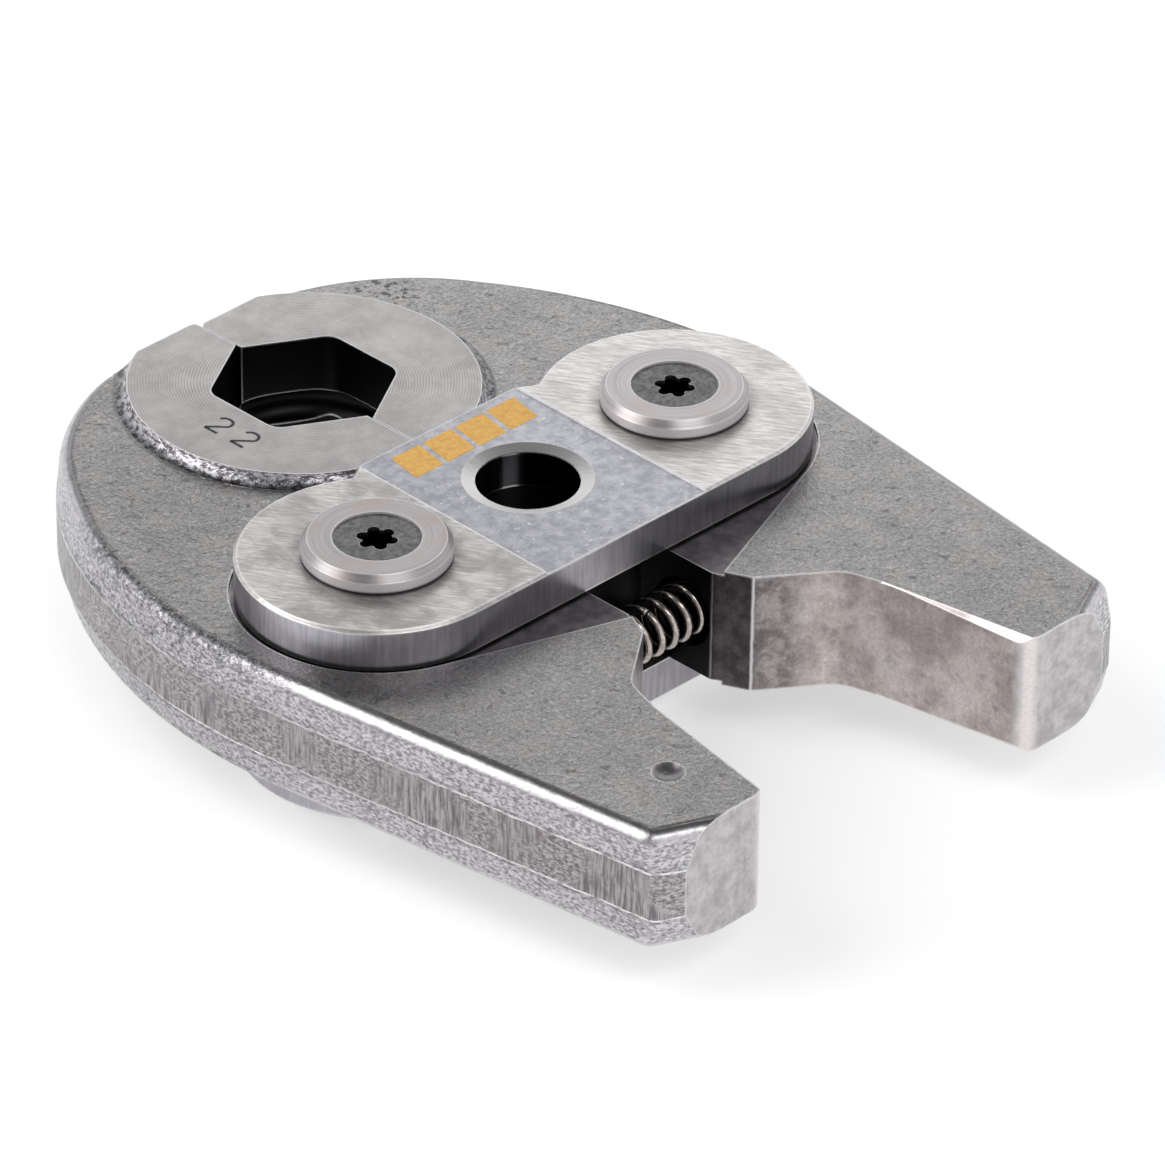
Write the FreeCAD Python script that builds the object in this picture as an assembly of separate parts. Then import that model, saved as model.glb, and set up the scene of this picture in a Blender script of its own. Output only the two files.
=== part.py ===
"""Press jaw with two forged levers between side plates, closed by a compression spring.

Units are millimetres. The origin is the centre of the retaining bolt's hole, half way
between the two side plates. +Z runs along that hole, +Y points to the pressing contour
and +X across the two levers. The levers mirror each other about X = 0.
"""
import FreeCAD, Part
import math
import os

V = FreeCAD.Vector
UP = V(0, 0, 1)

# Side plates, one above and one below the levers
plate_thickness = 6.0
plate_gap = 17.4
pivot_spacing = 54.6
plate_end_radius = 18.7
waist_drop = 1.2
waist_notch_offset = 10.2
waist_slope_deg = 31.0
waist_corner_radius = 1.5
notch_radius = 1.2
band_half_length = 14.5
band_depth = 0.3
plate_edge_chamfer = 0.4
bolt_hole_diameter = 14.0
bolt_hole_rim_width = 1.8
bolt_hole_rim_depth = 0.5

# Pivot pins with a cap disc and a countersunk screw at each end
pin_diameter = 16.0
pin_end_chamfer = 0.5
pin_sink = 0.1
pin_running_clearance = 0.04
pin_plate_clearance = 0.01
disc_diameter = 20.0
disc_thickness = 2.6
disc_chamfer_width = 0.8
disc_chamfer_height = 1.0
screw_head_diameter = 11.7
screw_head_sink = 0.3
screw_head_cylinder = 0.4
screw_shank_diameter = 6.0
screw_length = 14.0
screw_hole_depth = 17.0
screw_clearance = 0.03
socket_lobe_radius = 0.85
socket_lobe_circle = 1.95
socket_core_radius = 2.0
socket_depth = 2.6

# Forged lever: thickness, trimmed band at the parting line and rounded edges
lever_thickness = 17.8
parting_band_height = 7.0
edge_rounding = 2.2
tail_corner_x = 42.7
tail_corner_y = -65.2
tail_end_slope_deg = 25.0
tail_corner_easing = 0.3

# Outline of the lever at the parting line
crease_flank_deg = 81.7
crease_flank_length = 61.0
crease_side_radius = 77.0
crease_side_turn_deg = 33.9
crease_shoulder_radius = 53.5

# How the outline of its flat faces differs, drawn in at the tail end and furthest at the shoulder
face_end_draft = 1.4
face_flank_turn_deg = 0.4
face_flank_shortening = 2.0
face_side_draft = 0.2
face_side_extra_deg = 11.6
face_shoulder_draft = 22.2

# Pressing ring at the head of the levers
ring_center_y = 42.5
ring_radius = 23.7
ring_thickness = 21.2
ring_base_width = 2.3
ring_hollow_share = 0.32
head_flat_y = 63.6
split_gap = 0.1
split_lead = 1.0
contour_center_y = 42.6
contour_across_flats = 22.2
contour_corner_radius = 2.6
bead_groove_depth = 2.3
bead_groove_radius = 2.4

# Machined inner side of the lever
lever_web_thickness = 16.6
pocket_clearance = 0.7
opening_angle_deg = 16.5
pocket_turn_deg = 20.0
bolt_clearance = 1.4
nose_face_x = 7.4
nose_face_end_y = -26.2
nose_tip_x = 9.8
nose_tip_y = -31.3
ramp_end_x = 19.3
ramp_end_y = -38.3
ramp_blend_radius = 5.0
track_start_x = 21.1
track_start_y = -43.7
track_end_x = 24.2
track_blend_radius = 40.0
track_bevel = 1.0
tail_end_y = -67.0
tail_inner_corner_radius = 2.8
mark_x = 30.5
mark_y = -55.7
mark_diameter = 4.4
mark_depth = 0.7

# Both levers rest turned this far the same way, face to face along the split
rest_swing_deg = 1.0

# Closing spring between the noses of the levers
spring_y = -21.0
spring_hole_diameter = 10.0
spring_hole_depth = 8.0
spring_diameter = 8.0
spring_wire = 1.15
spring_pitch = 2.5
spring_end_clearance = 0.1

# Sizes that follow from those above
pivot_x = pivot_spacing / 2
waist_edge_y = plate_end_radius - waist_drop
plate_inner_z = plate_gap / 2
plate_outer_z = plate_inner_z + plate_thickness
web_z = lever_web_thickness / 2
lever_z = lever_thickness / 2
tail_corner_radius = edge_rounding + tail_corner_easing
ring_z = ring_thickness / 2
far = 200.0
near = 1e-3


def polar(center, radius, angle_deg):
    """Point at an angle from +X on a circle in the XY plane."""
    angle = math.radians(angle_deg)
    return V(center.x + radius * math.cos(angle), center.y + radius * math.sin(angle), center.z)


def arc(center, radius, start_deg, end_deg):
    """Arc edge between two angles, either way round."""
    middle_deg = (start_deg + end_deg) / 2
    ends = [polar(center, radius, a) for a in (start_deg, middle_deg, end_deg)]
    return Part.Arc(*ends).toShape()


def line(start, end):
    return Part.LineSegment(start, end).toShape()


def rounded_outline(corners):
    """Closed wire through (x, y, radius) corners, each rounded by its own radius."""
    count = len(corners)
    rounds = {}
    leaving = []
    arriving = []
    for i, (x, y, radius) in enumerate(corners):
        corner = V(x, y, 0)
        before = V(corners[i - 1][0], corners[i - 1][1], 0) - corner
        after = V(corners[(i + 1) % count][0], corners[(i + 1) % count][1], 0) - corner
        before.normalize()
        after.normalize()
        half = before.getAngle(after) / 2
        reach = radius / math.tan(half) if radius else 0.0
        arriving.append(corner + before * reach)
        leaving.append(corner + after * reach)
        if radius:
            bisector = (before + after).normalize()
            top = corner + bisector * (radius / math.sin(half) - radius)
            rounds[i] = Part.Arc(arriving[i], top, leaving[i]).toShape()
    chain = []
    for i in range(count):
        if i in rounds:
            chain.append(rounds[i])
        chain.append(line(leaving[i], arriving[(i + 1) % count]))
    return Part.Wire(chain)


def prism(wire, low, high):
    """Straight solid on a flat outline between two heights."""
    face = Part.Face(wire)
    face.translate(V(0, 0, low))
    return face.extrude(V(0, 0, high - low))


def turned(points, center=V(0, 0, 0)):
    """Solid turned about a vertical axis from (radius, height) corners."""
    corners = [center + V(radius, 0, height) for radius, height in points]
    wire = Part.makePolygon(corners + corners[:1])
    return Part.Face(wire).revolve(center, UP, 360)


def mirrored_down(shape):
    return shape.mirror(V(0, 0, 0), UP)


def mirrored_across(shape):
    return shape.mirror(V(0, 0, 0), V(1, 0, 0))


def edges_at(shape, height):
    """Edges that lie flat at one height."""
    found = []
    for edge in shape.Edges:
        box = edge.BoundBox
        if abs(box.ZMin - height) < near and abs(box.ZMax - height) < near:
            found.append(edge)
    return found


def upright_edges(shape, x, y):
    """Vertical edges that stand at one point of the plan."""
    found = []
    for edge in shape.Edges:
        box = edge.BoundBox
        upright = box.XLength < near and box.YLength < near
        if upright and abs(box.XMin - x) < near and abs(box.YMin - y) < near:
            found.append(edge)
    return found


def waist_corners():
    """Notch where the waist leaves the plate's round end, and the shoulder above it."""
    notch_y = math.sqrt(plate_end_radius ** 2 - waist_notch_offset ** 2)
    notch = V(pivot_x - waist_notch_offset, notch_y, 0)
    rise = waist_edge_y - notch_y
    shoulder = notch + V(-rise / math.tan(math.radians(waist_slope_deg)), rise, 0)
    return notch, shoulder


def plate_outline():
    """Round ends about the pivots, straight tail side, raised waist on the contour side."""
    notch, shoulder = waist_corners()
    notch_deg = math.degrees(math.atan2(notch.y, notch.x - pivot_x))
    right_side = [arc(V(pivot_x, 0, 0), plate_end_radius, -90, notch_deg), line(notch, shoulder)]
    left_side = [mirrored_across(edge) for edge in right_side]
    top = line(shoulder, V(-shoulder.x, shoulder.y, 0))
    bottom = line(V(-pivot_x, -plate_end_radius, 0), V(pivot_x, -plate_end_radius, 0))
    return Part.Wire(Part.__sortEdges__(right_side + left_side + [top, bottom]))


def upper_plate():
    body = prism(plate_outline(), plate_inner_z, plate_outer_z)
    notch, shoulder = waist_corners()
    for corner, radius in ((shoulder, waist_corner_radius), (notch, notch_radius)):
        edges = upright_edges(body, corner.x, corner.y) + upright_edges(body, -corner.x, corner.y)
        body = body.makeFillet(radius, edges)
    body = body.makeChamfer(plate_edge_chamfer, edges_at(body, plate_outer_z))
    band_z = plate_outer_z - band_depth
    band = Part.makeBox(2 * band_half_length, 2 * far, plate_thickness)
    band.translate(V(-band_half_length, -far, band_z))
    hole = bolt_hole_diameter / 2
    rim = hole + bolt_hole_rim_width
    step_z = band_z - bolt_hole_rim_depth
    bored = turned([(0, 0), (hole, 0), (hole, step_z), (rim, band_z), (rim, far), (0, far)])
    body = body.cut(band).cut(bored)
    for x in (-pivot_x, pivot_x):
        body = body.cut(Part.makeCylinder(pin_diameter / 2 + pin_plate_clearance, far, V(x, 0, 0)))
    return body


def pivot_pin(center):
    """Straight pin through both plates, drilled for a screw at each end."""
    radius = pin_diameter / 2
    half = plate_outer_z - pin_sink
    edge = radius - pin_end_chamfer
    shoulder = half - pin_end_chamfer
    side = [(edge, -half), (radius, -shoulder), (radius, shoulder), (edge, half)]
    pin = turned([(0, -half)] + side + [(0, half)], center)
    seat = screw_seat(center)
    return pin.cut(seat).cut(mirrored_down(seat))


def disc_top_z():
    return plate_outer_z + disc_thickness


def screw_profile():
    """Heights and radii of the countersunk head over its shank."""
    top = disc_top_z() - screw_head_sink
    head = screw_head_diameter / 2
    shank = screw_shank_diameter / 2
    rim = top - screw_head_cylinder
    neck = rim - (head - shank)
    return top, head, shank, rim, neck


def screw_seat(center):
    """Room for a screw: its hole, the cone under its head and the way in."""
    _, head, shank, rim, neck = screw_profile()
    head += screw_clearance
    shank += screw_clearance
    floor = disc_top_z() - screw_hole_depth
    return turned([(0, floor), (shank, floor), (shank, neck), (head, rim), (head, far), (0, far)], center)


def cap_disc(center):
    """Turned disc with a bevelled rim, countersunk for its screw."""
    radius = disc_diameter / 2
    top = disc_top_z()
    bevel = radius - disc_chamfer_width
    disc = turned([(0, plate_outer_z), (radius, plate_outer_z), (radius, top - disc_chamfer_height),
                   (bevel, top), (0, top)], center)
    return disc.cut(screw_seat(center))


def cap_screw(center):
    """Countersunk screw with a six-lobed socket."""
    top, head, shank, rim, neck = screw_profile()
    screw = turned([(0, top - screw_length), (shank, top - screw_length), (shank, neck), (head, rim),
                    (head, top), (0, top)], center)
    floor = center + V(0, 0, top - socket_depth)
    socket = Part.makeCylinder(socket_core_radius, far, floor)
    for step in range(6):
        lobe = polar(floor, socket_lobe_circle, 60 * step)
        socket = socket.fuse(Part.makeCylinder(socket_lobe_radius, far, lobe))
    return screw.cut(socket)


def forging_outline(corner_y, flank_deg, flank_length, side_radius, side_turn_deg, shoulder_radius):
    """Tail end, straight flank, side arc and shoulder arc, closed on the inner side."""
    flank = math.radians(flank_deg)
    corner = V(tail_corner_x, corner_y, 0)
    flank_end = corner + V(math.cos(flank), math.sin(flank), 0) * flank_length
    side_center = flank_end + V(-math.sin(flank), math.cos(flank), 0) * side_radius
    side_start_deg = flank_deg - 90
    side_end_deg = side_start_deg + side_turn_deg
    shoulder_center = polar(side_center, side_radius - shoulder_radius, side_end_deg)
    shoulder_top = polar(shoulder_center, shoulder_radius, 90)
    slope = math.radians(tail_end_slope_deg)
    inner_x = split_gap / 2 - 2 * edge_rounding
    top = V(inner_x, shoulder_top.y, 0)
    inner = corner - V(1, math.tan(slope), 0) * (corner.x - inner_x)
    half_turn = math.radians(flank_deg - tail_end_slope_deg) / 2
    reach = tail_corner_radius * math.tan(half_turn)
    arriving = corner - V(math.cos(slope), math.sin(slope), 0) * reach
    leaving = corner + V(math.cos(flank), math.sin(flank), 0) * reach
    corner_center = arriving + V(-math.sin(slope), math.cos(slope), 0) * tail_corner_radius
    return Part.Wire([
        line(inner, arriving),
        arc(corner_center, tail_corner_radius, tail_end_slope_deg - 90, side_start_deg),
        line(leaving, flank_end),
        arc(side_center, side_radius, side_start_deg, side_end_deg),
        arc(shoulder_center, shoulder_radius, side_end_deg, 90),
        line(shoulder_top, top),
        line(top, inner),
    ])


def forged_blank():
    """Upright band at the parting line, drafted in to both flat faces, with rounded edges."""
    crease = forging_outline(tail_corner_y, crease_flank_deg, crease_flank_length,
                             crease_side_radius, crease_side_turn_deg, crease_shoulder_radius)
    face = forging_outline(tail_corner_y + face_end_draft,
                           crease_flank_deg + face_flank_turn_deg,
                           crease_flank_length - face_flank_shortening,
                           crease_side_radius - face_side_draft,
                           crease_side_turn_deg + face_side_extra_deg,
                           crease_shoulder_radius - face_shoulder_draft)
    half_band = parting_band_height / 2
    band = prism(crease, -half_band, half_band)
    crease.translate(V(0, 0, half_band))
    face.translate(V(0, 0, lever_z))
    cope = Part.makeLoft([crease, face], True, True)
    blank = band.fuse(cope).fuse(mirrored_down(cope)).removeSplitter()
    inner_x = min(vertex.X for vertex in face.Vertexes) + near
    flat_edges = edges_at(blank, lever_z) + edges_at(blank, -lever_z)
    outer = [edge for edge in flat_edges if edge.BoundBox.XMax > inner_x]
    return blank.makeFillet(edge_rounding, outer)


def pressing_ring():
    """Round boss that stands above the forged faces, with a hollow base."""
    center = V(0, ring_center_y, 0)
    base = ring_radius + ring_base_width
    rise = ring_z - lever_z
    rim = V(ring_radius, 0, ring_z)
    hollow = V(ring_radius + ring_hollow_share * ring_base_width, 0, lever_z + ring_hollow_share * rise)
    foot = V(base, 0, lever_z)
    half = [line(V(0, 0, ring_z), rim), Part.Arc(rim, hollow, foot).toShape(), line(foot, V(base, 0, 0))]
    other = [mirrored_down(edge) for edge in half]
    axis = line(V(0, 0, -ring_z), V(0, 0, ring_z))
    wire = Part.Wire(Part.__sortEdges__(half + other + [axis]))
    ring = Part.Face(wire).revolve(V(0, 0, 0), UP, 360)
    ring.translate(center)
    return ring


def inner_cutter():
    """Space inside the right lever: bolt recess, nose, ramp and track."""
    radius = bolt_hole_diameter / 2 + bolt_clearance
    pivot = V(pivot_x, 0, 0)
    split_x = split_gap / 2
    start_deg = math.degrees(math.acos(split_x / radius))
    moved = polar(pivot, pivot_x, 180 + opening_angle_deg)
    drop = math.sqrt(radius ** 2 - (nose_face_x - moved.x) ** 2)
    cap_end_deg = -math.degrees(math.acos((nose_face_x - moved.x) / radius))
    bolt_arc = arc(V(0, 0, 0), radius, start_deg, 0)
    travel_arc = arc(pivot, pivot_x - radius, 180, 180 + opening_angle_deg)
    cap_arc = arc(moved, radius, opening_angle_deg, cap_end_deg)
    nose_start = V(nose_face_x, moved.y - drop, 0)
    points = [nose_start, V(nose_face_x, nose_face_end_y, 0), V(nose_tip_x, nose_tip_y, 0)]
    nose = [line(points[0], points[1]), line(points[1], points[2])]
    track = track_edges(points[2])
    track_end = track[-1].Vertexes[1].Point
    outside = [line(track_end, V(track_end.x, -far, 0)), line(V(track_end.x, -far, 0), V(-far, -far, 0)),
               line(V(-far, -far, 0), V(-far, far, 0)), line(V(-far, far, 0), V(split_x, far, 0)),
               line(V(split_x, far, 0), polar(V(0, 0, 0), radius, start_deg))]
    wire = Part.Wire(Part.__sortEdges__([bolt_arc, travel_arc, cap_arc] + nose + track + outside))
    return prism(wire, -far, far)


def track_edges(start):
    """Ramp behind the nose and the long track that a roller runs along."""
    corners = [
        (ramp_end_x, ramp_end_y, ramp_blend_radius),
        (track_start_x, track_start_y, track_blend_radius),
    ]
    end = V(track_end_x, tail_end_y, 0)
    path = [start] + [V(x, y, 0) for x, y, _ in corners] + [end]
    edges = []
    here = start
    for i, (x, y, radius) in enumerate(corners):
        corner = V(x, y, 0)
        before = (path[i] - corner).normalize()
        after = (path[i + 2] - corner).normalize()
        half = before.getAngle(after) / 2
        reach = radius / math.tan(half)
        arriving = corner + before * reach
        leaving = corner + after * reach
        middle = corner + (before + after).normalize() * (radius / math.sin(half) - radius)
        edges.append(line(here, arriving))
        edges.append(Part.Arc(arriving, middle, leaving).toShape())
        here = leaving
    edges.append(line(here, end))
    return edges


def track_wedge():
    """Bevel along the upper edge of the track, wider toward the tail."""
    start = V(track_start_x, track_start_y, lever_z)
    inward = V(track_end_x + track_bevel, tail_end_y, lever_z)
    down = V(track_end_x, tail_end_y, lever_z - track_bevel)
    outward = (down - start).cross(inward - start)
    wedge = Part.makeBox(2 * far, 2 * far, far)
    wedge.translate(V(-far, -far, 0))
    wedge.Placement = FreeCAD.Placement(start, FreeCAD.Rotation(UP, outward)) * wedge.Placement
    beside = Part.makeBox(2 * far, far, 2 * far)
    beside.translate(V(pivot_x - 2 * far, track_start_y - far, -far))
    return wedge.common(beside)


def plate_pocket():
    """Milled seat for a plate: room for its round end and for its tail edge as the lever turns."""
    radius = plate_end_radius + pocket_clearance
    pivot = V(pivot_x, 0, 0)
    turn_deg = pocket_turn_deg
    tangent = polar(pivot, radius, turn_deg - 90)
    slope = math.tan(math.radians(turn_deg))
    top_y = waist_edge_y + pocket_clearance
    top_x = pivot_x - math.sqrt(radius ** 2 - top_y ** 2)
    corners = [V(-far, top_y, 0), V(top_x, top_y, 0), pivot, tangent,
               V(-far, tangent.y - slope * (tangent.x + far), 0)]
    sweep = prism(Part.makePolygon(corners + corners[:1]), web_z, web_z + far)
    seat = Part.makeCylinder(radius, far, V(pivot_x, 0, web_z))
    return seat.fuse(sweep)


def contour_cutter():
    """Hexagonal opening with rounded corners and a round groove at half height."""
    center = V(0, contour_center_y, 0)
    corner_radius = contour_across_flats / math.sqrt(3)
    corners = []
    for step in range(6):
        corner = polar(center, corner_radius, 60 * step + 30)
        rounding = 0.0 if step in (1, 4) else contour_corner_radius
        corners.append((corner.x, corner.y, rounding))
    hexagon = prism(rounded_outline(corners), -far, far)
    groove = Part.makeTorus(contour_across_flats / 2 + bead_groove_depth - bead_groove_radius,
                            bead_groove_radius, center, UP)
    return hexagon.fuse(groove)


def spring_hole():
    depth = nose_face_x + spring_hole_depth
    return Part.makeCylinder(spring_hole_diameter / 2, depth, V(0, spring_y, 0), V(1, 0, 0))


def right_lever():
    lever = forged_blank().fuse(pressing_ring())
    front = Part.makeBox(2 * far, far, 2 * far)
    front.translate(V(-far, head_flat_y, -far))
    back = Part.makeBox(2 * far, far, 2 * far)
    back.translate(V(-far, tail_end_y - far, -far))
    lever = lever.cut(front).cut(back).cut(inner_cutter())
    lever = round_upright_edges(lever)
    wedge = track_wedge()
    lever = lever.cut(wedge).cut(mirrored_down(wedge))
    pocket = plate_pocket()
    lever = lever.cut(pocket).cut(mirrored_down(pocket))
    bore = pin_diameter / 2 + pin_running_clearance
    lever = lever.cut(Part.makeCylinder(bore, far, V(pivot_x, 0, -far / 2)))
    lever = lever.cut(contour_cutter()).cut(spring_hole())
    return lever.removeSplitter()


def round_upright_edges(lever):
    """Breaks the corners where the split opens at the head and where the track ends."""
    wanted = [
        (split_gap / 2, head_flat_y, split_lead),
        (track_end_x, tail_end_y, tail_inner_corner_radius),
    ]
    for x, y, radius in wanted:
        lever = lever.makeFillet(radius, upright_edges(lever, x, y))
    return lever


def left_lever(right):
    """Mirror of the right lever, with the round mark punched in its tail."""
    radius = (mark_diameter ** 2 / 4 + mark_depth ** 2) / (2 * mark_depth)
    mark = Part.makeSphere(radius, V(-mark_x, mark_y, lever_z - mark_depth + radius))
    return mirrored_across(right).cut(mark)


def closing_spring():
    """Coil between the two blind holes, closed at its ends."""
    half = nose_face_x + spring_hole_depth - spring_end_clearance - spring_wire / 2
    drift = -spring_y * math.sin(math.radians(rest_swing_deg))
    mean_radius = (spring_diameter - spring_wire) / 2
    helix = Part.makeHelix(spring_pitch, 2 * half, mean_radius)
    start = V(mean_radius, 0, 0)
    profile = Part.Wire(Part.makeCircle(spring_wire / 2, start, V(0, 1, 0)))
    coil = Part.Wire(helix.Edges).makePipeShell([profile], True, True)
    coil.rotate(V(0, 0, 0), V(0, 1, 0), 90)
    coil.translate(V(drift - half, spring_y, 0))
    return coil


def at_rest(lever, pivot):
    """Turns a lever from its symmetric place to the one it rests in."""
    lever.rotate(pivot, UP, rest_swing_deg)
    return lever


def build():
    parts = {}
    upper = upper_plate()
    parts["upper_side_plate"] = upper
    parts["lower_side_plate"] = mirrored_down(upper)
    right = right_lever()
    left = left_lever(right)
    parts["right_jaw"] = at_rest(right, V(pivot_x, 0, 0))
    parts["left_jaw"] = at_rest(left, V(-pivot_x, 0, 0))
    for side, x in (("left", -pivot_x), ("right", pivot_x)):
        center = V(x, 0, 0)
        disc = cap_disc(center)
        screw = cap_screw(center)
        parts[side + "_pivot_pin"] = pivot_pin(center)
        parts["upper_" + side + "_cap_disc"] = disc
        parts["lower_" + side + "_cap_disc"] = mirrored_down(disc)
        parts["upper_" + side + "_cap_screw"] = screw
        parts["lower_" + side + "_cap_screw"] = mirrored_down(screw)
    parts["closing_spring"] = closing_spring()
    return parts


os.makedirs("parts", exist_ok=True)
for name, shape in build().items():
    shape.exportStep("parts/" + name + ".step")
    print(name, len(shape.Solids), shape.isValid(), round(shape.Volume, 1))
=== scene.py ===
import bpy
import math
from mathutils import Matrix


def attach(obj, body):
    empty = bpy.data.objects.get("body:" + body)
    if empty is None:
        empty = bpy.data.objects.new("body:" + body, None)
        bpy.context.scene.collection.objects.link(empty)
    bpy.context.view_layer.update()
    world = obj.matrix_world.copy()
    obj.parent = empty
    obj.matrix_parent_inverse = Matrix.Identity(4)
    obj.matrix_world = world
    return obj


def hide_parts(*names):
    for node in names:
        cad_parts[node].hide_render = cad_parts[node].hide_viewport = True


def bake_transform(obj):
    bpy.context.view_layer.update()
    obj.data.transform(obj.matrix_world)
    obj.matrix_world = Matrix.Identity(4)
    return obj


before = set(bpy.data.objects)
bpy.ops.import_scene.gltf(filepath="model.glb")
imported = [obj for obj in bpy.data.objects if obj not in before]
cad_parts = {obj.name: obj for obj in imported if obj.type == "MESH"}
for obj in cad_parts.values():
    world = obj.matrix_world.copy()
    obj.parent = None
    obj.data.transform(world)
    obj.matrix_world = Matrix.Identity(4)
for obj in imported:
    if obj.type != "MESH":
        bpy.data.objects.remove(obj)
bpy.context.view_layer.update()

from types import SimpleNamespace
from mathutils import Matrix, Vector

# Places and sizes taken from the CAD model, in metres
PIVOT_X = 0.0273
REST_SWING = math.radians(1.0)
PLATE_TOP = 0.0147
BAND_TOP = 0.0144
BAND_HALF = 0.0145
LEVER_TOP = 0.0089
WEB_TOP = 0.0083
RING_TOP = 0.0106
RING_Y = 0.0425
RING_RADIUS = 0.0237
TREAD_HALF = 0.0035
BORE_RADIUS = 0.007
RIM_WIDTH = 0.0018
DISC_RADIUS = 0.010
SOCKET_Z = 0.0164
FLOOR_Z = -0.0173
NOSE_TIP_Y = -0.0313
NOSE_FACE_END_Y = -0.0262
MARK_PLACE = (-0.0305, -0.0557)
MARK_RADIUS = 0.0019

# Where one look of the jaw gives way to the next along Y: start and end of the change
BACK_END_Y = (-0.0608, -0.0600)
TAIL_END_Y = (-0.0655, -0.0640)
TAIL_CORNER_Y = (-0.060, -0.055)
NOSE_Y = (-0.0368, -0.0332)
NOSE_FRONT_Y = (-0.0320, -0.0308)
NOSE_FACE_Y = (-0.0272, -0.0255)
DARK_START_Y = (-0.0275, -0.0262)
CONTOUR_Y = (0.018, 0.02)
HEAD_Y = (-0.035, 0.0)
HEAD_FRONT_Y = (0.045, 0.05)
TORN_START_Y = (-0.012, 0.006)
TORN_END_Y = (0.030, 0.045)

# Small hollows at the far head, and the side of the middle plane that carries the mark
HOLLOWS_PLACE = (0.0257, 0.0546, LEVER_TOP)
HOLLOWS_REACH = (0.003, 0.006)
MARK_SIDE_Z = (0.0, 0.001)

# Slow changes of brightness across a surface, painted light: lighter where more light falls; on the
# plate ends this also sets where stains and scratches are heavier
FACE_LIGHT_FALL_Y = (-0.055, 0.03)
CREASE_FADE_Y = (-0.05, -0.02)
RING_LIGHT_FALL_X = (-0.02, 0.012)
RING_LIGHT_FALL_Y = (0.032, 0.056)
PLATE_CLEAN_AND_LIT_X = (-0.016, 0.016)
BAND_LIGHT_FALL_X = (-0.014, 0.014)
DISC_LIGHT_FALL_X = (-0.02, 0.02)

# Outer faces of the plates, and the side of the wire that faces into the coil, which is painted dark
# as shade
PLATE_OUTER_Z = (0.012, 0.0125)
WIRE_INSIDE = (-0.0012, 0.0014)

# Closing spring: wire, winding and place
SPRING_Y = -0.0210
SPRING_RADIUS = 0.003425
SPRING_WIRE = 0.00115
SPRING_PITCH = 0.0025
SPRING_HALF = 0.014725
SPRING_DRIFT = 0.000394
SPRING_START = 0.00075
SPRING_STEPS_PER_TURN = 40
SPRING_SIDES = 14

# Print on the band of each plate
PRINT_BARS = 4
PRINT_START_X = -0.0107
PRINT_PITCH = 0.0058
PRINT_WIDTH = 0.0050
PRINT_SLANT = 0.0009
PRINT_LOW_Y = 0.0101
PRINT_HIGH_Y = 0.0158
PRINT_HALF_THICKNESS = 0.00002

# Size number on the left half of the ring, one digit at each place along Y
NUMBER_X = -0.0157
NUMBER_PLACES = (0.0419, 0.0369)
NUMBER_HEIGHT = 0.0037
NUMBER_WIDTH = 0.0024
NUMBER_STROKE = 0.00046
NUMBER_SUNK = 0.00002
NUMBER_PROUD = 0.00001
BOW_POINTS = 15
BOW_START_DEGREES = 165
BOW_STEP_DEGREES = 14

# Noise patterns: scale per metre, detail, roughness, distortion
PATTERNS = {
    "grain": (2800, 3, 0.65, 0),
    "face sand": (1600, 3, 0.65, 0),
    "face wrinkles": (850, 3, 0.62, 0.6),
    "face specks": (1150, 3, 0.6, 0),
    "face clouds": (55, 3, 0.6, 0),
    "face dapples": (280, 2, 0.6, 0),
    "face pits": (640, 3, 0.6, 0.8),
    "face glints": (1900, 2, 0.6, 0),
    "head hollows": (900, 2, 0.5, 0),
    "flank scabs": (430, 4, 0.7, 0.5),
    "trim patches": (110, 2, 0.5, 0),
    "trim rust": (800, 2, 0.5, 0),
    "crease path": (360, 2, 0.5, 0),
    "crease breaks": (600, 2, 0.5, 0),
    "ring wobble": (160, 2, 0.5, 0),
    "ring mottle": (330, 4, 0.65, 0),
    "ring line depth": (120, 2, 0.5, 0),
    "ring clouds": (75, 2, 0.5, 0),
    "pocket floor": (500, 3, 0.6, 0),
    "wall stains": (150, 4, 0.65, 0),
    "wall pits": (520, 3, 0.5, 0),
    "wall sand": (2100, 3, 0.65, 0),
    "nose wear": (380, 4, 0.65, 0),
    "nose shade": (420, 3, 0.6, 0),
    "nose chips": (700, 2, 0.5, 0),
    "tail end": (300, 5, 0.7, 0),
    "plate stains": (150, 4, 0.62, 0.3),
    "plate grime and shade": (200, 2, 0.5, 0),
    "plate side": (130, 3, 0.5, 0),
    "band clouds": (600, 4, 0.65, 0),
    "band specks": (1900, 2, 0.6, 0),
    "band speck groups": (260, 2, 0.5, 0),
    "band grit": (1500, 2, 0.5, 0),
    "disc warmth": (220, 3, 0.6, 0),
    "screw mottle": (1600, 3, 0.6, 0),
    "screw polish": (700, 2, 0.5, 0),
    "wire": (1800, 3, 0.6, 0),
    "wire polish": (900, 2, 0.5, 0),
    "print wear": (1300, 3, 0.6, 0),
    "stamp": (2500, 2, 0.6, 0),
}

# Streaks: scale per metre along x, y and z, and detail
STREAKS = {
    "coarse": (1500, 1500, 2900, 4),
    "flow": (500, 500, 3400, 3),
    "trim lines": (2300, 2300, 260, 3),
    "ring scratches": (1500, 60, 1, 3),
    "ring foot": (900, 900, 2200, 3),
    "wall brushing": (1500, 1500, 140, 3),
    "plate grinding": (2300, 300, 1, 3),
    "plate scratches": (1600, 160, 1, 2),
    "plate side lines": (1700, 1700, 160, 3),
    "pin lines": (200, 200, 2400, 3),
}
STREAK_ROUGHNESS = 0.6

# Turns of streaks about Z, in radians
RING_SCRATCH_TURN = 0.6
GRINDING_TURN = -0.58
PLATE_SCRATCH_TURN = 0.25

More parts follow.
